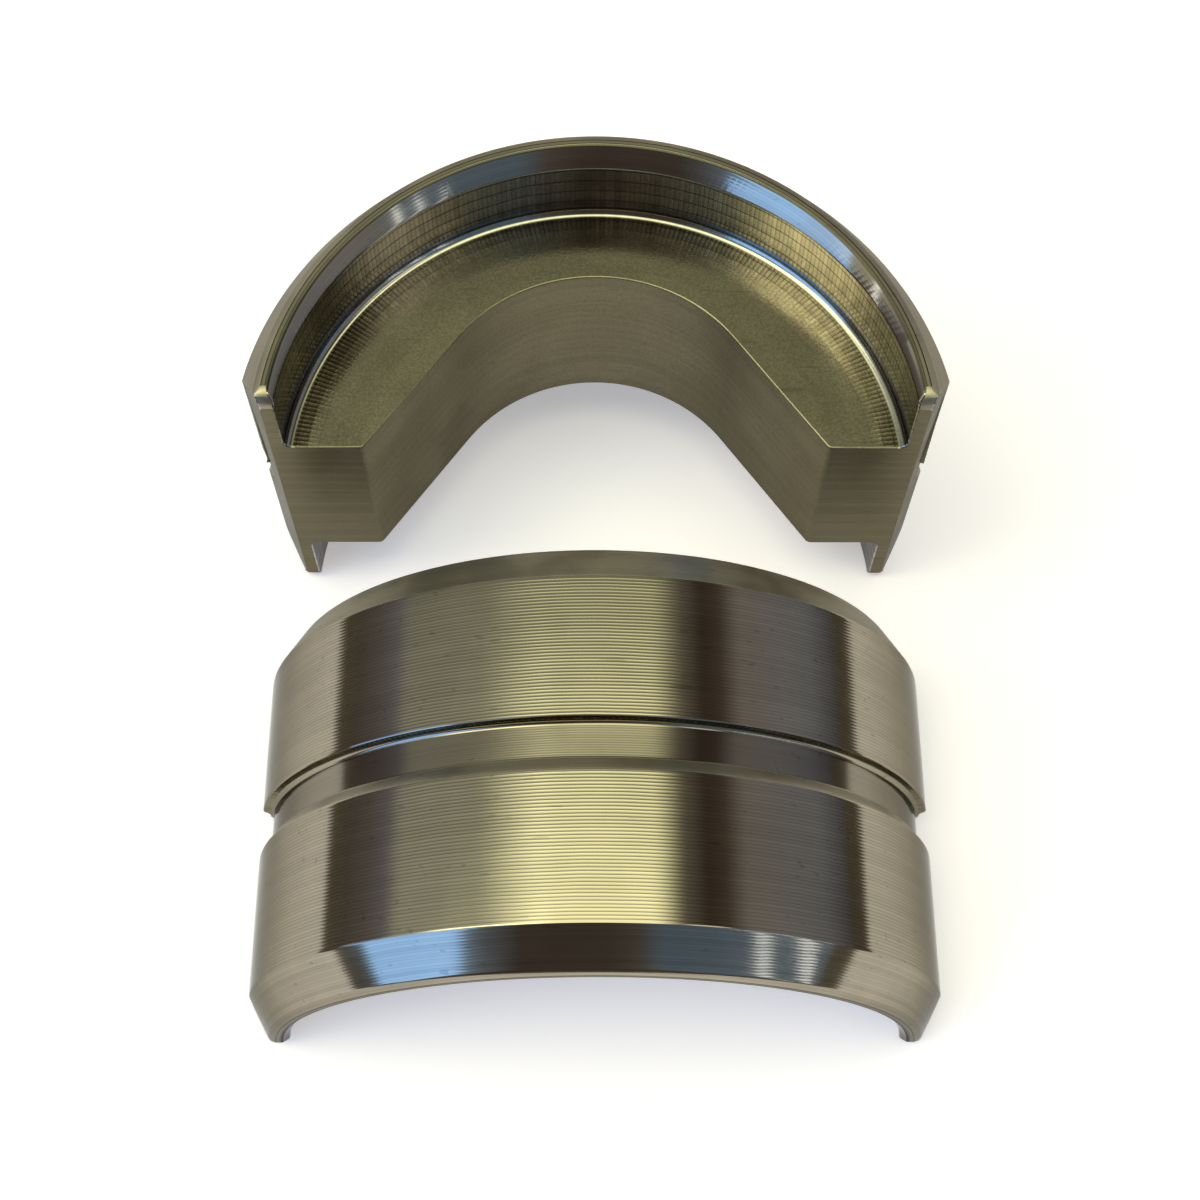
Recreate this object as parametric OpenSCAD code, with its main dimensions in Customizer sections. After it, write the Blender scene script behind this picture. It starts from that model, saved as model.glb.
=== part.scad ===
// Two-half compression die for a hydraulic crimping head.
// Each half is one solid piece of bright steel: a turned half-round outside with end
// chamfers and a retaining groove, a hollow milled into each end, and a flared crimp
// cavity through the web that is left between the two hollows.
// The upper half stands on its end and the lower half lies on its parting face.

/* [Turned outside] */
// Radius of the turned seat that fits the crimping head
seat_radius = 28.575; // [27:0.025:31]
// Distance from the axis of the seat up to the parting face
axis_drop = 1.3; // [0.5:0.05:1.6]
// Length of a half from end face to end face
die_length = 33.3; // [31:0.1:38]
// Length of the chamfer at each end, along the axis
chamfer_length = 3.2; // [1:0.1:4.5]
// Depth of the chamfer at each end, along the radius
chamfer_depth = 2; // [0.5:0.05:2.2]

/* [Retaining groove] */
// Distance from the upper end face to the square wall of the groove
groove_start = 14.65; // [12:0.05:16]
// Length of the whole groove, with its sloping wall
groove_length = 4.05; // [3:0.05:5]
// Length of the sloping wall, along the axis
groove_slope = 1.15; // [0.6:0.05:1.8]
// Depth of the groove below the seat
groove_depth = 0.95; // [0.5:0.05:1.4]
// Radius of the fillet at the foot of the square wall
groove_fillet = 0.4; // [0.1:0.05:0.45]

/* [Parting face] */
// Half of the width of the parting face
parting_half_width = 26.2; // [26.1:0.05:27]
// Height of the corner where the side bevel meets the turned seat
bevel_height = 3.6; // [2:0.1:5]
// Radius of the rim tips, where an end face meets the parting face
tip_radius = 1.4; // [0.3:0.1:1.8]

/* [End hollows] */
// Radius of the hollow milled into each end
hollow_radius = 25.15; // [24.4:0.05:25.25]
// Distance from the axis of the hollow up to the parting face
hollow_drop = 2.2; // [1.8:0.05:2.4]
// Depth of each hollow
hollow_depth = 7.6; // [4:0.1:9]
// Width of the flat rim between the end chamfer and the countersunk mouth of a hollow
rim_width = 0.95; // [0.6:0.05:1.2]
// Radius of the fillet between the wall and the floor of each hollow
floor_fillet = 0.7; // [0.4:0.1:2]

/* [Crimp cavity] */
// Radius of the crown of the crimp cavity
crown_radius = 14; // [12:0.1:15]
// Height of the crown above the parting face
crown_height = 16.25; // [15:0.05:18]
// Angle between the straight flanks and the parting face
flank_angle = 54.5; // [50:0.5:60]
// Radius of the edge between a flank and the parting face
flank_edge_radius = 0.6; // [0.2:0.1:1]
// Radius of the edge between a hollow's floor and the parting face
web_edge_radius = 0.4; // [0.1:0.1:0.8]

/* [Pose of the two halves] */
// Clear distance on the table between the lower and the upper half
half_spacing = 8.7; // [4:0.1:40]

/* [Hidden] */
steel = [0.66, 0.64, 0.56];
cut_margin = 1;
crest_height = seat_radius - axis_drop;
set_depth = die_length + half_spacing + crest_height;
groove_radius = seat_radius - groove_depth;
end_radius = seat_radius - chamfer_depth;
corner_drop = bevel_height + axis_drop;
corner_half_width = sqrt(seat_radius * seat_radius - corner_drop * corner_drop);
crown_centre = crown_height - crown_radius;
tangent_x = crown_radius * sin(flank_angle);
tangent_y = crown_centre + crown_radius * cos(flank_angle);
flank_foot = tangent_x + tangent_y / tan(flank_angle);
edge_setback = flank_edge_radius * tan(flank_angle / 2);
mouth_reach = end_radius - rim_width;
wall_crest = hollow_radius - hollow_drop + axis_drop;
mouth_depth = max(mouth_reach - wall_crest, 0) + 0.2;

// Half profile of the turned bar, with radius along x and the die's axis along y.
module bar_profile() {
    square_wall = die_length - groove_start;
    slope_start = square_wall - groove_length;
    slope_end = slope_start + groove_slope;
    polygon([
        [0, 0],
        [end_radius, 0],
        [seat_radius, chamfer_length],
        [seat_radius, slope_start],
        [groove_radius, slope_end],
        [groove_radius, square_wall - groove_fillet],
        [groove_radius + groove_fillet, square_wall],
        [seat_radius, square_wall],
        [seat_radius, die_length - chamfer_length],
        [end_radius, die_length],
        [0, die_length]
    ]);
}

// The turned bar, its axis below the parting face, with a filleted foot in its groove.
module turned_bar() {
    translate([0, -axis_drop, 0])
        rotate_extrude()
            difference() {
                bar_profile();
                translate([groove_radius + groove_fillet, die_length - groove_start - groove_fillet])
                    circle(groove_fillet);
            }
}

// Outline of a half across the die's axis: the parting face, the two side bevels and room above.
module half_outline() {
    reach = seat_radius + cut_margin;
    polygon([
        [-parting_half_width, 0],
        [parting_half_width, 0],
        [corner_half_width, bevel_height],
        [reach, bevel_height],
        [reach, reach],
        [-reach, reach],
        [-reach, bevel_height],
        [-corner_half_width, bevel_height]
    ]);
}

// Solid half before the hollows and the cavity are cut.
module half_blank() {
    intersection() {
        turned_bar();
        linear_extrude(die_length)
            half_outline();
    }
}

// Half profile of an end hollow, with its mouth at y = 0 and its floor below.
module hollow_profile() {
    square_depth = hollow_depth - floor_fillet;
    translate([0, -hollow_depth])
        square([hollow_radius - floor_fillet, hollow_depth + cut_margin]);
    translate([0, -square_depth])
        square([hollow_radius, square_depth + cut_margin]);
    translate([hollow_radius - floor_fillet, -square_depth])
        circle(floor_fillet);
}

// Cutter for the hollow in the upper end.
module end_hollow() {
    translate([0, -hollow_drop, die_length])
        rotate_extrude()
            hollow_profile();
}

// Cutter for the countersunk mouth, a 45 degree cone that shares the axis of the seat.
module mouth_countersink() {
    translate([0, -axis_drop, die_length])
        rotate_extrude()
            polygon([
                [0, -mouth_depth],
                [mouth_reach - mouth_depth, -mouth_depth],
                [mouth_reach + cut_margin, cut_margin],
                [0, cut_margin]
            ]);
}

// Section of the crimp cavity: a round crown with straight flanks that flare out at the foot.
module cavity_section() {
    foot_reach = cut_margin / tan(flank_angle);
    translate([0, crown_centre])
        circle(crown_radius);
    polygon([
        [-flank_foot - foot_reach, -cut_margin],
        [flank_foot + foot_reach, -cut_margin],
        [tangent_x, tangent_y],
        [-tangent_x, tangent_y]
    ]);
}

// Section of the cutter that rounds the edge between one flank and the parting face.
module flank_edge_section() {
    difference() {
        polygon([
            [flank_foot + edge_setback, -cut_margin],
            [flank_foot + edge_setback, 0],
            [flank_foot + edge_setback, flank_edge_radius],
            [flank_foot - edge_setback * cos(flank_angle), edge_setback * sin(flank_angle)],
            [flank_foot - cut_margin, -cut_margin]
        ]);
        translate([flank_foot + edge_setback, flank_edge_radius])
            circle(flank_edge_radius);
    }
}

// Crimp cavity through the web, with its two rounded feet.
module crimp_cavity() {
    translate([0, 0, -cut_margin])
        linear_extrude(die_length + 2 * cut_margin) {
            cavity_section();
            flank_edge_section();
            mirror([1, 0])
                flank_edge_section();
        }
}

// Cutter that rounds an edge along x, where the face y = 0 meets a face z = 0 below the part.
module edge_round(radius, half_width) {
    translate([-half_width, 0, 0])
        difference() {
            translate([0, -cut_margin, -cut_margin])
                cube([2 * half_width, radius + cut_margin, radius + cut_margin]);
            translate([-cut_margin, radius, radius])
                rotate([0, 90, 0])
                    cylinder(h = 2 * (half_width + cut_margin), r = radius);
        }
}

// Everything that is cut at the upper end: the hollow, its edge with the parting face and the tips.
module upper_end_cuts() {
    end_hollow();
    mouth_countersink();
    translate([0, 0, die_length])
        mirror([0, 0, 1])
            edge_round(tip_radius, seat_radius);
    translate([0, 0, die_length - hollow_depth])
        mirror([0, 0, 1])
            edge_round(web_edge_radius, hollow_radius - floor_fillet);
}

// One finished half, its axis along z and its parting face in the plane y = 0.
module die_half() {
    difference() {
        half_blank();
        upper_end_cuts();
        translate([0, 0, die_length])
            mirror([0, 0, 1])
                upper_end_cuts();
        crimp_cavity();
    }
}

// Upper half, standing on its end face with its parting face toward the front.
module upper_die_half() {
    color(steel)
        translate([0, set_depth / 2 - crest_height, 0])
            die_half();
}

// Lower half, lying on its parting face with its axis from front to back.
module lower_die_half() {
    color(steel)
        translate([0, -set_depth / 2, 0])
            rotate([90, 0, 180])
                die_half();
}

upper_die_half();
lower_die_half();
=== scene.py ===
# Two-half crimping die. The upper half stands on its end at the back and the lower half
# lies on its parting face in front. Both are turned and milled from bright steel.
import math

import bpy
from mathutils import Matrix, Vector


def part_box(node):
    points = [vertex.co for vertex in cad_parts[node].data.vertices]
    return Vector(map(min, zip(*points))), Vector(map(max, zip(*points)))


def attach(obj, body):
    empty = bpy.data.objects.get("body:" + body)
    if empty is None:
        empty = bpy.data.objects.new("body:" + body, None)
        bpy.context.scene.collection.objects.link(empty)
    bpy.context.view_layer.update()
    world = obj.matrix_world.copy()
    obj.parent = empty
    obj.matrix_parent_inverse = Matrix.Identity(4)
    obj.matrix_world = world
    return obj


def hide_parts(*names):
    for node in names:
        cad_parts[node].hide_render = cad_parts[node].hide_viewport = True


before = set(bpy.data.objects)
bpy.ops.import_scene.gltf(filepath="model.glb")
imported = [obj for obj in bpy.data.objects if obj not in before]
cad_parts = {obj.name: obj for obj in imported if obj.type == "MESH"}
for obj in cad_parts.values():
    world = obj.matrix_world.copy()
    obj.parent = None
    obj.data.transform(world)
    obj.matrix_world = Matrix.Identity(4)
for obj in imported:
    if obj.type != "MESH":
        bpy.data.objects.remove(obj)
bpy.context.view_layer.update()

# The turned bar. Its outside is the seat that fits the crimping head, with a chamfer at
# each end and one groove for the retaining button. The bar is cut from round steel on a
# lathe, so it is made here as a profile that is spun about the die's axis.
mm = 0.001
cut_margin = 1 * mm
upper_low, upper_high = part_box("upper_die_half")
lower_low, lower_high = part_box("lower_die_half")
die_length = upper_high.z - upper_low.z
seat_radius = 28.575 * mm
axis_drop = seat_radius - lower_high.z
chamfer_length = 3.2 * mm
chamfer_depth = 2 * mm
groove_start = 14.65 * mm
groove_length = 4.05 * mm
groove_slope = 1.15 * mm
groove_depth = 0.95 * mm
groove_fillet = 0.4 * mm
rim_edge = 0.35 * mm
turn_steps = 288
fillet_steps = 6
weld_distance = 0.0005 * mm


def arc_points(centre, radius, first_angle, last_angle, steps):
    """Points along an arc, with angles in degrees from the first axis."""
    points = []
    for step in range(steps + 1):
        angle = math.radians(first_angle + (last_angle - first_angle) * step / steps)
        points.append((centre[0] + radius * math.cos(angle), centre[1] + radius * math.sin(angle)))
    return points


def draw_outline(name, points, place):
    """Draws a chain of edges through points, each put in space by place, and stays in edit mode."""
    bpy.ops.object.select_all(action="DESELECT")
    bpy.ops.mesh.primitive_plane_add(size=1 * mm, location=(0, 0, 0))
    piece = bpy.context.active_object
    piece.name = name
    bpy.ops.object.mode_set(mode="EDIT")
    bpy.ops.mesh.select_mode(type="VERT")
    bpy.ops.mesh.select_all(action="SELECT")
    bpy.ops.mesh.merge(type="CENTER")
    bpy.ops.transform.translate(value=place(points[0]))
    for before, after in zip(points, points[1:]):
        start, end = place(before), place(after)
        step = [b - a for a, b in zip(start, end)]
        bpy.ops.mesh.extrude_vertices_move(TRANSFORM_OT_translate={"value": step})
    return piece


def spin_profile(name, points):
    """Spins a profile of radius and height about the z axis into a closed solid."""
    piece = draw_outline(name, points, lambda point: (point[0], 0, point[1]))
    bpy.ops.mesh.select_all(action="SELECT")
    bpy.ops.mesh.spin(steps=turn_steps, angle=math.tau, center=(0, 0, 0), axis=(0, 0, 1))
    bpy.ops.mesh.select_all(action="SELECT")
    bpy.ops.mesh.remove_doubles(threshold=weld_distance)
    bpy.ops.mesh.normals_make_consistent(inside=False)
    bpy.ops.object.mode_set(mode="OBJECT")
    return piece


def place_piece(piece, location, rotation=(0, 0, 0)):
    """Moves and turns a piece, and puts the move into its mesh."""
    bpy.ops.object.select_all(action="DESELECT")
    piece.select_set(True)
    bpy.context.view_layer.objects.active = piece
    piece.location = location
    piece.rotation_euler = rotation
    bpy.ops.object.transform_apply(location=True, rotation=True, scale=True)


groove_radius = seat_radius - groove_depth
end_radius = seat_radius - chamfer_depth
square_wall = die_length - groove_start
slope_start = square_wall - groove_length
groove_foot = arc_points(
    (groove_radius + groove_fillet, square_wall - groove_fillet), groove_fillet, 180, 90, fillet_steps
)
rim_out = rim_edge * chamfer_depth / math.hypot(chamfer_depth, chamfer_length)
rim_up = rim_edge * chamfer_length / math.hypot(chamfer_depth, chamfer_length)
bar_profile = [
    (0, 0),
    (end_radius - rim_edge, 0),
    (end_radius + rim_out, rim_up),
    (seat_radius, chamfer_length),
    (seat_radius, slope_start),
    (groove_radius, slope_start + groove_slope),
    *groove_foot,
    (seat_radius, square_wall),
    (seat_radius, die_length - chamfer_length),
    (end_radius + rim_out, die_length - rim_up),
    (end_radius - rim_edge, die_length),
    (0, die_length),
]
half = spin_profile("upper_half_steel", bar_profile)
place_piece(half, (0, -axis_drop, 0))

# The bar is split at the parting face, and the two corners beside it are bevelled flat.
# The cuts are made on the bar itself and leave one solid half.
parting_half_width = 26.2 * mm
bevel_height = 3.6 * mm


def cut_away(piece, point, normal):
    """Cuts off all that lies beyond a plane and closes the cut."""
    bpy.ops.object.select_all(action="DESELECT")
    piece.select_set(True)
    bpy.context.view_layer.objects.active = piece
    bpy.ops.object.mode_set(mode="EDIT")
    bpy.ops.mesh.select_all(action="SELECT")
    bpy.ops.mesh.bisect(
        plane_co=point, plane_no=normal, use_fill=True, clear_outer=True, threshold=weld_distance
    )
    bpy.ops.object.mode_set(mode="OBJECT")


corner_half_width = math.sqrt(seat_radius ** 2 - (bevel_height + axis_drop) ** 2)
bevel_width = corner_half_width - parting_half_width
cut_away(half, (0, 0, 0), (0, -1, 0))
for side in (-1, 1):
    cut_away(half, (side * parting_half_width, 0, 0), (side * bevel_height, -bevel_width, 0))

# A round hollow is milled into each end. Its axis lies lower than the seat's, and a fillet
# joins its wall to its floor. The mouth is countersunk about the axis of the seat.
hollow_radius = 25.15 * mm
hollow_drop = 2.2 * mm
hollow_depth = 7.6 * mm
floor_fillet = 0.7 * mm
rim_width = 0.95 * mm
countersink_depth = 1.5 * mm
round_steps = 12


def subtract(piece, cutter):
    """Takes a cutter's volume out of a piece, removes the cutter and welds the cut."""
    bpy.ops.object.select_all(action="DESELECT")
    piece.select_set(True)
    bpy.context.view_layer.objects.active = piece
    cut = piece.modifiers.new(cutter.name, "BOOLEAN")
    cut.operation = "DIFFERENCE"
    cut.solver = "EXACT"
    cut.object = cutter
    bpy.ops.object.modifier_apply(modifier=cut.name)
    bpy.data.objects.remove(cutter)
    bpy.ops.object.mode_set(mode="EDIT")
    bpy.ops.mesh.select_all(action="SELECT")
    bpy.ops.mesh.remove_doubles(threshold=weld_distance)
    bpy.ops.mesh.dissolve_degenerate(threshold=weld_distance)
    bpy.ops.object.mode_set(mode="OBJECT")


floor_arc = arc_points(
    (hollow_radius - floor_fillet, floor_fillet - hollow_depth), floor_fillet, -90, 0, round_steps
)
hollow_profile = [
    (0, -hollow_depth),
    *floor_arc,
    (hollow_radius, cut_margin),
    (0, cut_margin),
]
mouth_reach = end_radius - rim_width
countersink_profile = [
    (0, -countersink_depth),
    (mouth_reach - countersink_depth, -countersink_depth),
    (mouth_reach + cut_margin, cut_margin),
    (0, cut_margin),
]
upside_down = (0, math.pi, 0)
top_hollow = spin_profile("top_hollow_cutter", hollow_profile)
place_piece(top_hollow, (0, -hollow_drop, die_length))
subtract(half, top_hollow)
top_countersink = spin_profile("top_countersink_cutter", countersink_profile)
place_piece(top_countersink, (0, -axis_drop, die_length))
subtract(half, top_countersink)
bottom_hollow = spin_profile("bottom_hollow_cutter", hollow_profile)
place_piece(bottom_hollow, (0, -hollow_drop, 0), upside_down)
subtract(half, bottom_hollow)
bottom_countersink = spin_profile("bottom_countersink_cutter", countersink_profile)
place_piece(bottom_countersink, (0, -axis_drop, 0), upside_down)
subtract(half, bottom_countersink)

# The crimp cavity runs through the web between the hollows. It has a round crown and
# straight flanks, and its feet are rounded where they meet the parting face.
crown_radius = 14 * mm
crown_height = 16.25 * mm
flank_angle = 54.5
flank_edge_radius = 0.6 * mm
crown_steps = 72


def extrude_outline(name, points, place, direction):
    """Fills a closed outline and extrudes it along direction into a solid."""
    piece = draw_outline(name, points, place)
    bpy.ops.mesh.select_all(action="SELECT")
    bpy.ops.mesh.edge_face_add()
    bpy.ops.mesh.extrude_region_move(TRANSFORM_OT_translate={"value": direction})
    bpy.ops.mesh.select_all(action="SELECT")
    bpy.ops.mesh.normals_make_consistent(inside=False)
    bpy.ops.object.mode_set(mode="OBJECT")
    return piece


flank_slope = math.radians(flank_angle)
crown_centre = crown_height - crown_radius
tangent_x = crown_radius * math.sin(flank_slope)
tangent_y = crown_centre + crown_radius * math.cos(flank_slope)
flank_foot = tangent_x + tangent_y / math.tan(flank_slope)
foot_centre = flank_foot + flank_edge_radius * math.tan(flank_slope / 2)
right_foot = arc_points(
    (foot_centre, flank_edge_radius), flank_edge_radius, -90, -90 - flank_angle, fillet_steps
)
crown = arc_points((0, crown_centre), crown_radius, 90 - flank_angle, 90 + flank_angle, crown_steps)
left_foot = [(-x, y) for x, y in reversed(right_foot)]
cavity_outline = [
    (foot_centre, -cut_margin),
    *right_foot,
    *crown,
    *left_foot,
    (-foot_centre, -cut_margin),
]
cavity = extrude_outline(
    "cavity_cutter",
    cavity_outline,
    lambda point: (point[0], point[1], -cut_margin),
    (0, 0, die_length + 2 * cut_margin),
)
subtract(half, cavity)

# The rim tips are rounded where each end face meets the parting face. The cutter is a bar
# with one hollow corner that lies across both tips of an end.
tip_radius = 1.4 * mm


def round_tips(piece, height, upward):
    """Rounds the edge where the parting face meets an end face that looks up or down."""
    turn = 1 if upward else -1
    centre = (tip_radius, height - turn * tip_radius)
    arc = arc_points(centre, tip_radius, 180, 180 - 90 * turn, round_steps)
    outside = height + turn * cut_margin
    outline = [(-cut_margin, arc[0][1]), *arc, (arc[-1][0], outside), (-cut_margin, outside)]
    cutter = extrude_outline(
        "tip_cutter",
        outline,
        lambda point: (-seat_radius, point[0], point[1]),
        (2 * seat_radius, 0, 0),
    )
    subtract(piece, cutter)


round_tips(half, die_length, True)
round_tips(half, 0, False)

# Every sharp edge is broken by a fine bevel, as a file or a deburring tool leaves it. The
# points along the mouth of each hollow are spaced out first, so that the bevel runs evenly,
# and no point is left beyond the parting face, so that the lower half lies flat.
edge_break = 0.12 * mm
edge_break_steps = 2
mouth_weld = 0.1 * mm
mouth_reach_down = hollow_depth / 2
on_wall = 0.005 * mm
face_weight = 100
sharp_angle = math.radians(28)
smooth_angle = math.radians(20)
bpy.ops.object.select_all(action="DESELECT")
half.select_set(True)
bpy.context.view_layer.objects.active = half
bpy.ops.object.mode_set(mode="EDIT")
bpy.ops.mesh.select_mode(type="VERT")
bpy.ops.mesh.select_all(action="DESELECT")
bpy.ops.object.mode_set(mode="OBJECT")
for vertex in half.data.vertices:
    mouth_depth = min(vertex.co.z, die_length - vertex.co.z)
    off_wall = abs(math.hypot(vertex.co.x, vertex.co.y + hollow_drop) - hollow_radius)
    vertex.select = edge_break < mouth_depth < mouth_reach_down and off_wall < on_wall
bpy.ops.object.mode_set(mode="EDIT")
bpy.ops.mesh.remove_doubles(threshold=mouth_weld)
bpy.ops.object.mode_set(mode="OBJECT")
deburr = half.modifiers.new("edge_break", "BEVEL")
deburr.width = edge_break
deburr.segments = edge_break_steps
deburr.limit_method = "ANGLE"
deburr.angle_limit = sharp_angle
deburr.use_clamp_overlap = False
bpy.ops.object.modifier_apply(modifier=deburr.name)
bpy.ops.object.mode_set(mode="EDIT")
bpy.ops.mesh.select_all(action="SELECT")
bpy.ops.mesh.remove_doubles(threshold=weld_distance)
bpy.ops.object.mode_set(mode="OBJECT")
for vertex in half.data.vertices:
    vertex.co.y = max(vertex.co.y, 0)
bpy.ops.object.shade_smooth_by_angle(angle=smooth_angle)
even_shading = half.modifiers.new("even_shading", "WEIGHTED_NORMAL")
even_shading.keep_sharp = True
even_shading.weight = face_weight
bpy.ops.object.modifier_apply(modifier=even_shading.name)

# Marks that the machines leave on every face, built once as node groups. One group finds
# the place on the die, one draws tool lines, and one gives smudges and hair scratches.
metre_in_mm = 1000


def group_with(name, inputs, outputs):
    """Starts a node group with named sockets, and returns it with its input and output nodes."""
    group = bpy.data.node_groups.new(name, "ShaderNodeTree")
    for label, kind in inputs:
        group.interface.new_socket(label, in_out="INPUT", socket_type=kind)
    for label, kind in outputs:
        group.interface.new_socket(label, in_out="OUTPUT", socket_type=kind)
    return group, group.nodes.new("NodeGroupInput"), group.nodes.new("NodeGroupOutput")


def feed(tree, socket, value):
    """Feeds a socket from another socket, or sets it to a plain value."""
    if isinstance(value, bpy.types.NodeSocket):
        tree.links.new(value, socket)
    else:
        socket.default_value = value


def reckon(tree, operation, *values):
    """Adds a Math node on the given values and returns its output."""
    node = tree.nodes.new("ShaderNodeMath")
    node.operation = operation
    for socket, value in zip(node.inputs, values):
        feed(tree, socket, value)
    return node.outputs[0]


def vector_of(tree, x, y, z):
    """Joins three values into a vector."""
    node = tree.nodes.new("ShaderNodeCombineXYZ")
    for socket, value in zip(node.inputs, (x, y, z)):
        feed(tree, socket, value)
    return node.outputs[0]


def length_of(tree, vector):
    """Adds a node that measures a vector."""
    node = tree.nodes.new("ShaderNodeVectorMath")
    node.operation = "LENGTH"
    feed(tree, node.inputs[0], vector)
    return node.outputs["Value"]


def noise_of(tree, vector, scale, detail):
    """Adds a Noise Texture and returns its value, from 0 to 1."""
    node = tree.nodes.new("ShaderNodeTexNoise")
    feed(tree, node.inputs["Vector"], vector)
    feed(tree, node.inputs["Scale"], scale)
    node.inputs["Detail"].default_value = detail
    return node.outputs[0]


def mapped(tree, value, low, high, new_low=0.0, new_high=1.0):
    """Maps a value smoothly from one range to another."""
    node = tree.nodes.new("ShaderNodeMapRange")
    node.interpolation_type = "SMOOTHSTEP"
    for label, amount in zip(
        ("Value", "From Min", "From Max", "To Min", "To Max"), (value, low, high, new_low, new_high)
    ):
        feed(tree, node.inputs[label], amount)
    return node.outputs[0]


# Place on the die, in millimetres: along the axis, out from the axes of the seat and of the
# hollow, and round the hollow's wall. Near Wall rises to 1 where the floor meets the wall.
wall_shade_width = 3.4
die_place, place_in, place_out = group_with(
    "place_on_die",
    [("Vector", "NodeSocketVector")],
    [
        ("Place", "NodeSocketVector"),
        ("Along", "NodeSocketFloat"),
        ("Radius", "NodeSocketFloat"),
        ("Hollow Radius", "NodeSocketFloat"),
        ("Arc", "NodeSocketFloat"),
        ("Near Wall", "NodeSocketFloat"),
    ],
)
to_mm = die_place.nodes.new("ShaderNodeVectorMath")
to_mm.operation = "SCALE"
to_mm.inputs["Scale"].default_value = metre_in_mm
feed(die_place, to_mm.inputs[0], place_in.outputs["Vector"])
split = die_place.nodes.new("ShaderNodeSeparateXYZ")
feed(die_place, split.inputs[0], to_mm.outputs[0])
from_seat = reckon(die_place, "ADD", split.outputs["Y"], axis_drop * metre_in_mm)
from_hollow = reckon(die_place, "ADD", split.outputs["Y"], hollow_drop * metre_in_mm)
hollow_angle = reckon(die_place, "ARCTAN2", split.outputs["X"], from_hollow)
feed(die_place, place_out.inputs["Place"], to_mm.outputs[0])
feed(die_place, place_out.inputs["Along"], split.outputs["Z"])
feed(
    die_place,
    place_out.inputs["Radius"],
    length_of(die_place, vector_of(die_place, split.outputs["X"], from_seat, 0.0)),
)
hollow_reach = length_of(die_place, vector_of(die_place, split.outputs["X"], from_hollow, 0.0))
wall_reach = (hollow_radius - floor_fillet) * metre_in_mm
feed(die_place, place_out.inputs["Hollow Radius"], hollow_reach)
feed(
    die_place,
    place_out.inputs["Near Wall"],
    mapped(die_place, hollow_reach, wall_reach - wall_shade_width, wall_reach),
)
feed(
    die_place,
    place_out.inputs["Arc"],
    reckon(die_place, "MULTIPLY", hollow_angle, hollow_radius * metre_in_mm),
)

# Tool lines: scallops at a steady pitch, each a little lighter or darker than the next. A
# scallop is a parabola, 0 in its middle and 1 at the ridges beside it. Line rises to 1 along
# those ridges, where the metal looks dark.
line_wander_scale = 0.22
tool_lines, lines_in, lines_out = group_with(
    "tool_lines",
    [
        ("Across", "NodeSocketFloat"),
        ("Place", "NodeSocketVector"),
        ("Pitch", "NodeSocketFloat"),
        ("Wander", "NodeSocketFloat"),
        ("Line Start", "NodeSocketFloat"),
    ],
    [
        ("Height", "NodeSocketFloat"),
        ("Shade", "NodeSocketFloat"),
        ("Line", "NodeSocketFloat"),
    ],
)
sway = noise_of(tool_lines, lines_in.outputs["Place"], line_wander_scale, 1)
swayed = reckon(tool_lines, "MULTIPLY_ADD", sway, lines_in.outputs["Wander"], lines_in.outputs["Across"])
count = reckon(tool_lines, "DIVIDE", swayed, lines_in.outputs["Pitch"])
off_middle = reckon(tool_lines, "SUBTRACT", reckon(tool_lines, "FRACT", count), 0.5)
scallop = reckon(tool_lines, "MULTIPLY", reckon(tool_lines, "POWER", off_middle, 2.0), 4.0)
feed(tool_lines, lines_out.inputs["Height"], scallop)
feed(
    tool_lines,
    lines_out.inputs["Line"],
    mapped(tool_lines, scallop, lines_in.outputs["Line Start"], 1.0),
)
line_number = tool_lines.nodes.new("ShaderNodeTexWhiteNoise")
line_number.noise_dimensions = "1D"
feed(tool_lines, line_number.inputs["W"], reckon(tool_lines, "FLOOR", count))
feed(tool_lines, lines_out.inputs["Shade"], line_number.outputs["Value"])

# Handling marks: soft smudges, and thin hair scratches that run in three directions. Both are
# stretches of noise of which only the peaks show.
smudge_scale = 0.16
smudge_range = (0.35, 0.68)
scratch_scale = 1.75
scratch_stretch = 14
scratch_range = (0.735, 0.77)
scratch_turns = (0.3, 1.35, 2.5)
handling, handling_in, handling_out = group_with(
    "handling_marks",
    [("Place", "NodeSocketVector")],
    [("Smudge", "NodeSocketFloat"), ("Scratch", "NodeSocketFloat")],
)
smudge = noise_of(handling, handling_in.outputs["Place"], smudge_scale, 4)
feed(handling, handling_out.inputs["Smudge"], mapped(handling, smudge, *smudge_range))
scratches = []
for turn in scratch_turns:
    turned = handling.nodes.new("ShaderNodeMapping")
    turned.inputs["Rotation"].default_value = (turn, turn * 2, turn)
    turned.inputs["Scale"].default_value = (1 / scratch_stretch, 1, 1)
    feed(handling, turned.inputs["Vector"], handling_in.outputs["Place"])
    streak = noise_of(handling, turned.outputs[0], scratch_scale, 1)
    scratches.append(mapped(handling, streak, *scratch_range))
scratch = reckon(handling, "MAXIMUM", scratches[0], scratches[1])
scratch = reckon(handling, "MAXIMUM", scratch, scratches[2])
feed(handling, handling_out.inputs["Scratch"], scratch)

# The bright steel itself. Its tone and the marks on it differ by the tool that cut the face; four of
# the tones also hold painted light and painted shade, as marked below.
# Pitches, depths and the height of the grain are in millimetres. Speckle and smudging say how
# far the grain and the smudges lighten or darken the metal.
steel_colour = (0.322, 0.29, 0.23)
# Cavity and ground faces: a duller finish, and painted shade for the shadowed card they reflect.
dull_and_shaded_colour = (0.175, 0.158, 0.108)
groove_colour = (0.225, 0.20, 0.165)
floor_colour = (0.265, 0.24, 0.165)
# Hollow's wall: painted light, lighter and greyer than the steel, for the dim floor it reflects.
lightened_wall_colour = (0.52, 0.49, 0.47)
fillet_colour = (0.33, 0.32, 0.275)
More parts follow.
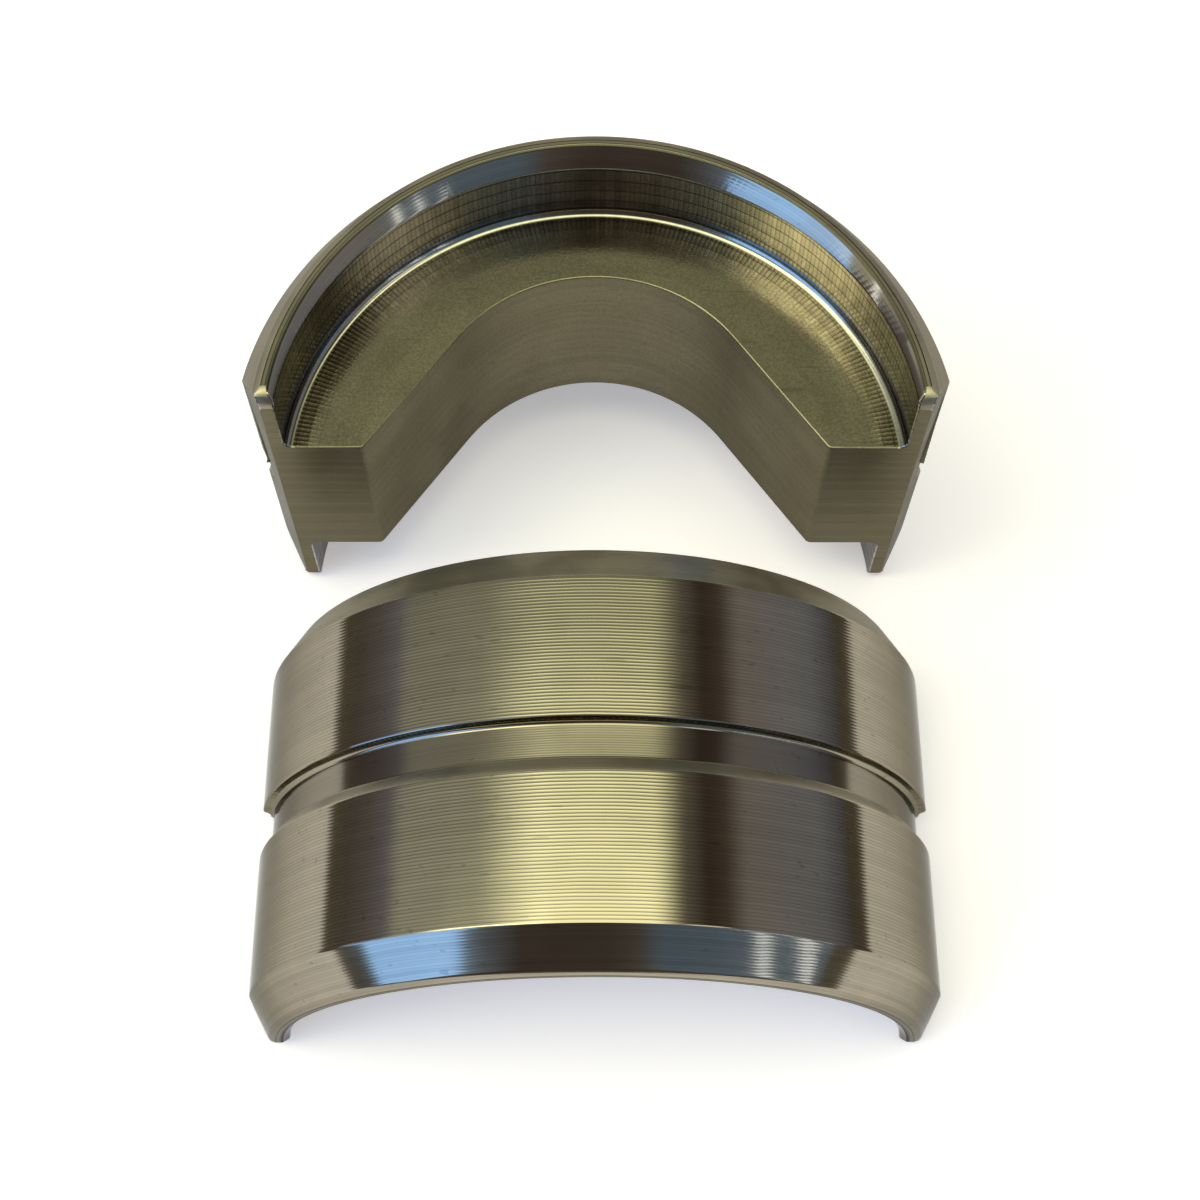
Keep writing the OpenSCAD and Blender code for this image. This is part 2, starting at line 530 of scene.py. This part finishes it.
# Far chamfer and groove slope: painted light, lighter than the steel where their reflections are dark.
lightened_shoulder_colour = (0.42, 0.38, 0.31)
# Fine bevels at the ends: painted shade, nearly black, so that they show no bright edge lines.
shaded_edge_colour = (0.07, 0.065, 0.05)
edge_tint = (0.42, 0.42, 0.42, 1)
grain_scale = 5.5
grain_range = (0.3, 0.7)
scratch_darkening = 0.2
smudge_gloss = (0.92, 1.12)


def lines_along(across, pitch, depth, shade, wander=0.1, darkness=0.0, width=0.5, fading=None):
    """Describes one set of tool lines: scallops with a dark line between them."""
    return {
        "across": across,
        "pitch": pitch,
        "depth": depth,
        "shade": shade,
        "wander": wander,
        "darkness": darkness,
        "line_start": (1 - width) ** 2,
        "fading": fading,
    }


finishes = {
    "turned_seat": {
        "colour": steel_colour,
        "roughness": 0.1,
        "lines": [
            lines_along("Along", pitch=0.267, depth=0.0045, shade=0.05, darkness=0.35, width=0.4),
        ],
        "grain": 0.0003,
        "speckle": 0.0,
        "smudging": 0.04,
    },
    "smooth_turned": {
        "colour": steel_colour,
        "roughness": 0.1,
        "lines": [lines_along("Along", pitch=0.19, depth=0.0012, shade=0.08, darkness=0.12)],
        "grain": 0.0001,
        "speckle": 0.0,
        "smudging": 0.05,
    },
    "groove_floor": {
        "colour": groove_colour,
        "roughness": 0.12,
        "lines": [lines_along("Along", pitch=0.19, depth=0.0012, shade=0.05, darkness=0.1)],
        "grain": 0.0003,
        "speckle": 0.0,
        "smudging": 0.05,
    },
    # The slope's lighter colour is painted light.
    "groove_slope": {
        "colour": lightened_shoulder_colour,
        "roughness": 0.45,
        "lines": [lines_along("Along", pitch=0.19, depth=0.001, shade=0.05)],
        "grain": 0.001,
        "speckle": 0.0,
        "smudging": 0.04,
    },
    # The far chamfer's lighter colour is painted light.
    "back_shoulder": {
        "colour": lightened_shoulder_colour,
        "roughness": 0.5,
        "lines": [lines_along("Along", pitch=0.19, depth=0.002, shade=0.05)],
        "grain": 0.001,
        "speckle": 0.03,
        "smudging": 0.06,
    },
    "faced_end": {
        "colour": steel_colour,
        "roughness": 0.18,
        "lines": [
            lines_along(
                "Radius", pitch=0.34, depth=0.008, shade=0.1,
                wander=0.05, darkness=0.95, width=0.55,
            ),
        ],
        "grain": 0.0006,
        "speckle": 0.0,
        "smudging": 0.05,
    },
    # The wall's lighter colour is painted light.
    "milled_wall": {
        "colour": lightened_wall_colour,
        "roughness": 0.2,
        "lines": [
            lines_along("Arc", pitch=0.42, depth=0.003, shade=0.1, darkness=0.35),
            lines_along(
                "Along", pitch=1.45, depth=0.003, shade=0.07,
                wander=0.4, darkness=0.8, width=0.16,
            ),
        ],
        "grain": 0.0005,
        "speckle": 0.0,
        "smudging": 0.06,
    },
    "floor_fillet": {
        "colour": fillet_colour,
        "roughness": 0.13,
        "lines": [lines_along("Arc", pitch=0.39, depth=0.0006, shade=0.05)],
        "grain": 0.0003,
        "speckle": 0.0,
        "smudging": 0.04,
    },
    "milled_floor": {
        "colour": floor_colour,
        "roughness": 0.13,
        "lines": [
            lines_along(
                "Arc", pitch=0.42, depth=0.008, shade=0.14,
                darkness=0.5, fading="Near Wall",
            ),
            lines_along(
                "Hollow Radius", pitch=0.9, depth=0.004, shade=0.1,
                darkness=0.45, width=0.2, fading="Near Wall",
            ),
            lines_along("Hollow Radius", pitch=2.2, depth=0.0, shade=0.16, wander=1.6),
        ],
        "grain": 0.007,
        "speckle": 0.16,
        "smudging": 0.05,
    },
    "rounded_tip": {
        "colour": steel_colour,
        "roughness": 0.38,
        "lines": [lines_along("Along", pitch=0.19, depth=0.001, shade=0.05)],
        "grain": 0.001,
        "speckle": 0.04,
        "smudging": 0.05,
    },
    # The fine bevels' near-black colour is painted shade.
    "shaded_broken_edge": {
        "colour": shaded_edge_colour,
        "roughness": 0.35,
        "lines": [lines_along("Radius", pitch=0.19, depth=0.001, shade=0.05)],
        "grain": 0.001,
        "speckle": 0.1,
        "smudging": 0.05,
    },
    # The cavity's darker colour is partly painted shade.
    "milled_cavity": {
        "colour": dull_and_shaded_colour,
        "roughness": 0.3,
        "lines": [lines_along("Along", pitch=0.31, depth=0.0015, shade=0.06, wander=0.6)],
        "grain": 0.005,
        "speckle": 0.12,
        "smudging": 0.07,
    },
    # The ground faces' darker colour is partly painted shade.
    "ground_face": {
        "colour": dull_and_shaded_colour,
        "roughness": 0.3,
        "lines": [lines_along("Along", pitch=0.36, depth=0.002, shade=0.08, wander=0.5)],
        "grain": 0.002,
        "speckle": 0.05,
        "smudging": 0.06,
    },
}


def steel_finish(name, turn, shift, marks_of_tool):
    """Makes bright steel with the marks of one tool, placed on one half."""
    finish = bpy.data.materials.new(name)
    finish.use_nodes = True
    tree = finish.node_tree
    shader = tree.nodes["Principled BSDF"]
    shader.inputs["Metallic"].default_value = 1
    shader.inputs["Specular Tint"].default_value = edge_tint
    coordinates = tree.nodes.new("ShaderNodeTexCoord")
    placing = tree.nodes.new("ShaderNodeMapping")
    placing.inputs["Rotation"].default_value = turn
    placing.inputs["Location"].default_value = shift
    feed(tree, placing.inputs["Vector"], coordinates.outputs["Object"])
    place = tree.nodes.new("ShaderNodeGroup")
    place.node_tree = die_place
    feed(tree, place.inputs["Vector"], placing.outputs[0])
    marks = tree.nodes.new("ShaderNodeGroup")
    marks.node_tree = handling
    feed(tree, marks.inputs["Place"], place.outputs["Place"])
    grain = noise_of(tree, place.outputs["Place"], grain_scale, 2)
    height = reckon(tree, "MULTIPLY", grain, marks_of_tool["grain"])
    smudging = marks_of_tool["smudging"]
    tone = mapped(tree, marks.outputs["Smudge"], 0.0, 1.0, 1.0 - smudging, 1.0 + smudging)
    speckle = marks_of_tool["speckle"]
    speckled = mapped(tree, grain, *grain_range, 1.0 - speckle, 1.0 + speckle)
    tone = reckon(tree, "MULTIPLY", tone, speckled)
    for line in marks_of_tool["lines"]:
        drawn = tree.nodes.new("ShaderNodeGroup")
        drawn.node_tree = tool_lines
        feed(tree, drawn.inputs["Across"], place.outputs[line["across"]])
        feed(tree, drawn.inputs["Place"], place.outputs["Place"])
        drawn.inputs["Pitch"].default_value = line["pitch"]
        drawn.inputs["Wander"].default_value = line["wander"]
        drawn.inputs["Line Start"].default_value = line["line_start"]
        strength = place.outputs[line["fading"]] if line["fading"] else 1.0
        line_depth = reckon(tree, "MULTIPLY", strength, line["depth"])
        height = reckon(tree, "MULTIPLY_ADD", drawn.outputs["Height"], line_depth, height)
        uneven = mapped(tree, drawn.outputs["Shade"], 0.0, 1.0, -line["shade"], line["shade"])
        uneven = reckon(tree, "MULTIPLY_ADD", drawn.outputs["Line"], -line["darkness"], uneven)
        tone = reckon(tree, "MULTIPLY", tone, reckon(tree, "MULTIPLY_ADD", uneven, strength, 1.0))
    scratched = reckon(tree, "MULTIPLY_ADD", marks.outputs["Scratch"], -scratch_darkening, 1.0)
    tone = reckon(tree, "MULTIPLY", tone, scratched)
    tint = tree.nodes.new("ShaderNodeVectorMath")
    tint.operation = "SCALE"
    tint.inputs[0].default_value = marks_of_tool["colour"]
    feed(tree, tint.inputs["Scale"], tone)
    feed(tree, shader.inputs["Base Color"], tint.outputs[0])
    glossy, matt = [marks_of_tool["roughness"] * share for share in smudge_gloss]
    rough = mapped(tree, marks.outputs["Smudge"], 0.0, 1.0, glossy, matt)
    feed(tree, shader.inputs["Roughness"], rough)
    relief = tree.nodes.new("ShaderNodeBump")
    relief.inputs["Distance"].default_value = 1 / metre_in_mm
    feed(tree, relief.inputs["Height"], height)
    feed(tree, shader.inputs["Normal"], relief.outputs[0])
    return finish


# Both halves are the same form. Each face gets the finish of the tool that cut it, found by
# its place on the half. The upper half stands at the back, the lower one lies in front.
flat_enough = 0.985
upright_enough = 0.2
side_on = 0.3
near_enough = 0.3 * mm


def finish_of(centre, normal):
    """Names the finish of a face from its middle and its direction, on a half in its own place."""
    seat_distance = math.hypot(centre.x, centre.y + axis_drop)
    hollow_distance = math.hypot(centre.x, centre.y + hollow_drop)
    depth = min(centre.z, die_length - centre.z)
    outward = (centre.x * normal.x + (centre.y + axis_drop) * normal.y) / seat_distance
    upright = abs(normal.z) < upright_enough
    if normal.y < -flat_enough and centre.y < near_enough:
        return "ground_face"
    if upright and normal.y < -side_on and outward > side_on:
        return "ground_face"
    if depth < tip_radius and centre.y < tip_radius and abs(normal.x) < upright_enough:
        return "rounded_tip"
    if outward > side_on:
        if abs(seat_distance - seat_radius) < near_enough and upright:
            return "turned_seat"
        if die_length - centre.z < chamfer_length and normal.z > upright_enough:
            return "back_shoulder"
        if slope_start < centre.z < slope_start + groove_slope:
            return "groove_slope"
        if abs(seat_distance - groove_radius) < near_enough and upright:
            return "groove_floor"
        return "smooth_turned"
    if abs(normal.z) > flat_enough:
        if depth < near_enough:
            return "faced_end"
        return "milled_floor"
    # The fine bevels at the ends get the finish with painted shade.
    if depth < edge_break and not upright:
        return "shaded_broken_edge"
    if depth < countersink_depth and not upright:
        return "smooth_turned"
    beside_wall = hollow_distance > hollow_radius - floor_fillet - near_enough
    if beside_wall and depth < hollow_depth + near_enough:
        if depth > hollow_depth - floor_fillet:
            return "floor_fillet"
        return "milled_wall"
    return "milled_cavity"


finish_names = list(finishes)
face_finishes = [finish_names.index(finish_of(face.center, face.normal)) for face in half.data.polygons]

upper_half = half
lower_half = half.copy()
lower_half.data = half.data.copy()
lower_half.name = "lower_half_steel"
bpy.context.collection.objects.link(lower_half)
lying = (math.pi / 2, 0, math.pi)
place_piece(upper_half, (0, upper_low.y, 0))
place_piece(lower_half, (0, lower_low.y, 0), lying)
for piece, label, turn, shift in (
    (upper_half, "upper", (0, 0, 0), (0, -upper_low.y, 0)),
    (lower_half, "lower", lying, (0, 0, -lower_low.y)),
):
    piece.data.materials.clear()
    for name, marks_of_tool in finishes.items():
        made = steel_finish(label + "_" + name, turn, shift, marks_of_tool)
        piece.data.materials.append(made)
    piece.data.polygons.foreach_set("material_index", face_finishes)
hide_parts("upper_die_half")
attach(upper_half, "upper_half")
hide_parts("lower_die_half")
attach(lower_half, "lower_half")

# The pair stands on a pale card that runs out of the picture on every side. The card lies
# on a dark brown bench.
card_size = (270 * mm, 280 * mm)
card_shift = 20 * mm
card_colour = (0.82, 0.775, 0.90, 1)
card_roughness = 0.9
card_specular = 0.2
card_glow = 0.36
card_glow_colour = (1, 1, 1, 1)
bench_size = 4
bench_drop = 0.5 * mm
bench_colour = (0.12, 0.095, 0.08, 1)
bpy.ops.mesh.primitive_plane_add(size=1, location=(0, card_shift, 0))
card = bpy.context.active_object
card.name = "pale_card"
card.scale = (*card_size, 1)
bpy.ops.object.transform_apply(location=True, rotation=True, scale=True)
card_paint = bpy.data.materials.new("pale_card_paper")
card_paint.use_nodes = True
paint_tree = card_paint.node_tree
paint = paint_tree.nodes["Principled BSDF"]
paint.inputs["Base Color"].default_value = card_colour
paint.inputs["Roughness"].default_value = card_roughness
paint.inputs["Specular IOR Level"].default_value = card_specular
path = paint_tree.nodes.new("ShaderNodeLightPath")
seen = reckon(paint_tree, "MAXIMUM", path.outputs["Is Camera Ray"], path.outputs["Is Glossy Ray"])
seen = reckon(paint_tree, "MAXIMUM", seen, path.outputs["Is Transmission Ray"])
feed(paint_tree, paint.inputs["Emission Strength"], reckon(paint_tree, "MULTIPLY", seen, card_glow))
paint.inputs["Emission Color"].default_value = card_glow_colour
card.data.materials.append(card_paint)
bpy.ops.mesh.primitive_plane_add(size=bench_size, location=(0, 0, -bench_drop))
bench = bpy.context.active_object
bench.name = "dark_bench"
bench_paint = bpy.data.materials.new("dark_bench_top")
bench_paint.use_nodes = True
bench_shader = bench_paint.node_tree.nodes["Principled BSDF"]
bench_shader.inputs["Base Color"].default_value = bench_colour
bench_shader.inputs["Roughness"].default_value = card_roughness
bench_shader.inputs["Specular IOR Level"].default_value = card_specular
bench.data.materials.append(bench_paint)

# The studio is a soft dome. Its ceiling and its front wall are coloured by the angle from
# side to side, in degrees, and four soft panels of light hang in it.
studio = bpy.data.worlds.new("soft_studio")
bpy.context.scene.world = studio
studio.use_nodes = True
sky = studio.node_tree
direction = sky.nodes.new("ShaderNodeTexCoord")
axes = sky.nodes.new("ShaderNodeSeparateXYZ")
feed(sky, axes.inputs[0], direction.outputs["Generated"])
sideways = reckon(sky, "ARCTAN2", axes.outputs["X"], axes.outputs["Z"])


def wall_ramp(tree, value, stops):
    """Colours the dome by an angle from -90 to 90 degrees."""
    spread = tree.nodes.new("ShaderNodeMapRange")
    feed(tree, spread.inputs["Value"], value)
    spread.inputs["From Min"].default_value = -math.pi / 2
    spread.inputs["From Max"].default_value = math.pi / 2
    node = tree.nodes.new("ShaderNodeValToRGB")
    feed(tree, node.inputs[0], spread.outputs[0])
    elements = node.color_ramp.elements
    while len(elements) < len(stops):
        elements.new(0.5)
    for element, (angle, colour) in zip(elements, stops):
        element.position = (angle + 90) / 180
    for element, (angle, colour) in zip(elements, stops):
        element.color = (*colour, 1)
    return node.outputs[0]


ceiling_stops = (
    (-90, (0.15, 0.13, 0.12)),
    (-80, (0.20, 0.18, 0.18)),
    (-70, (0.28, 0.28, 0.33)),
    (-68, (0.36, 0.37, 0.33)),
    (-35, (0.45, 0.46, 0.36)),
    (20, (0.42, 0.42, 0.30)),
    (30, (0.20, 0.18, 0.15)),
    (36, (0.08, 0.06, 0.05)),
    (43, (0.12, 0.09, 0.07)),
    (50, (0.36, 0.34, 0.33)),
    (70, (0.34, 0.35, 0.40)),
    (79, (0.30, 0.32, 0.38)),
    (90, (0.15, 0.15, 0.18)),
)
front_stops = (
    (-90, (0.25, 0.35, 0.50)),
    (-75, (0.30, 0.50, 0.80)),
    (-45, (0.35, 0.55, 0.80)),
    (-35, (0.20, 0.24, 0.30)),
    (-25, (0.10, 0.08, 0.07)),
    (5, (0.11, 0.09, 0.08)),
    (15, (0.15, 0.13, 0.12)),
    (22, (0.17, 0.25, 0.36)),
    (45, (0.20, 0.28, 0.40)),
    (65, (0.30, 0.40, 0.50)),
    (90, (0.30, 0.33, 0.40)),
)
ceiling = wall_ramp(sky, sideways, ceiling_stops)
forward = reckon(sky, "MULTIPLY", axes.outputs["Y"], -1.0)
front_turn = reckon(sky, "ARCTAN2", axes.outputs["X"], forward)
front = wall_ramp(sky, front_turn, front_stops)


def soft_panel(left, right, back, front, colour, strength):
    """Hangs a soft light in the dome. Each edge fades between two sideways angles or depths."""
    share = mapped(sky, sideways, math.radians(left[0]), math.radians(left[1]))
    for value, (dark, bright) in (
        (sideways, [math.radians(angle) for angle in right]),
        (axes.outputs["Y"], back),
        (axes.outputs["Y"], front),
    ):
        share = reckon(sky, "MULTIPLY", share, mapped(sky, value, dark, bright))
    light = sky.nodes.new("ShaderNodeVectorMath")
    light.operation = "SCALE"
    light.inputs[0].default_value = colour
    feed(sky, light.inputs["Scale"], reckon(sky, "MULTIPLY", share, strength))
    return light.outputs[0]


panels = [
    soft_panel(
        left=(-40, -15),
        right=(29, 17),
        back=(0.43, 0.2),
        front=(-0.42, -0.22),
        colour=(1.0, 1.02, 0.62),
        strength=2.65,
    ),
    soft_panel(
        left=(-73, -65),
        right=(-10, -20),
        back=(0.40, 0.26),
        front=(-0.3, -0.2),
        colour=(1.0, 1.02, 0.8),
        strength=0.33,
    ),
    soft_panel(
        left=(-60, -46),
        right=(-12, -30),
        back=(0.16, 0.04),
        front=(-0.34, -0.22),
        colour=(1.0, 0.97, 0.64),
        strength=3.8,
    ),
    soft_panel(
        left=(25, 33),
        right=(46, 38),
        back=(0.02, -0.08),
        front=(-0.4, -0.28),
        colour=(1.0, 1.0, 0.9),
        strength=1.6,
    ),
]
front_wall_fade = (-0.3, -0.5)
to_front = mapped(sky, axes.outputs["Y"], *front_wall_fade)
room = sky.nodes.new("ShaderNodeMix")
room.data_type = "RGBA"
first_colour, second_colour = room.inputs[6:8]
feed(sky, room.inputs["Factor"], to_front)
feed(sky, first_colour, ceiling)
feed(sky, second_colour, front)
dome_light = room.outputs[2]
for panel in panels:
    lit = sky.nodes.new("ShaderNodeVectorMath")
    lit.operation = "ADD"
    feed(sky, lit.inputs[0], dome_light)
    feed(sky, lit.inputs[1], panel)
    dome_light = lit.outputs[0]
feed(sky, sky.nodes["Background"].inputs["Color"], dome_light)
bpy.context.scene.view_settings.view_transform = "Standard"

# Daylight comes from a window at the front left. Three slim lamps stand at the front right
# and one at the far left. All of them face the die.
lamp_distance = 0.8
window_azimuth = -59
window_height = 0.33
window_size = (0.58, 0.58)
window_colour = (0.23, 0.47, 1.0)
window_energy = 2.4
strip_azimuths = (46, 54, 61, -89)
strip_height = 0.29
strip_size = (0.022, 0.5)
strip_colour = (0.85, 0.9, 1.0)
strip_energy = 0.09


def stand_lamp(name, azimuth, height, size, colour, energy):
    """Stands an upright lamp beside the table, turned to face the die."""
    angle = math.radians(azimuth)
    spot = (lamp_distance * math.sin(angle), -lamp_distance * math.cos(angle), height)
    bpy.ops.object.light_add(type="AREA", location=spot, rotation=(math.pi / 2, 0, angle))
    lamp = bpy.context.active_object
    lamp.name = name
    lamp.data.shape = "RECTANGLE"
    lamp.data.size = size[0]
    lamp.data.size_y = size[1]
    lamp.data.color = colour
    lamp.data.energy = energy


stand_lamp("window_light", window_azimuth, window_height, window_size, window_colour, window_energy)
for number, azimuth in enumerate(strip_azimuths):
    name = "slim_lamp_" + str(number + 1)
    stand_lamp(name, azimuth, strip_height, strip_size, strip_colour, strip_energy)

# The camera looks down on the pair from the front, as in the photograph. Its place, its
# angles in degrees and its lens were fitted to the outlines of both halves.
image_width = 1200
focal_pixels = 1994
axis_row = 450
camera_height = 167.9 * mm
camera_distance = 32.7 * mm
camera_offset = -0.85 * mm
look_down = 62.35
look_right = 0.9
lean = 0.87
sensor_width = 36
bpy.ops.object.camera_add(
    location=(camera_offset, lower_low.y - camera_distance, camera_height),
    rotation=(math.radians(90 - look_down), 0, math.radians(-look_right)),
)
camera = bpy.context.active_object
camera.rotation_euler.rotate_axis("Z", math.radians(lean))
camera.data.sensor_width = sensor_width
camera.data.lens = focal_pixels * sensor_width / image_width
camera.data.shift_y = (axis_row - image_width / 2) / image_width
bpy.context.scene.camera = camera
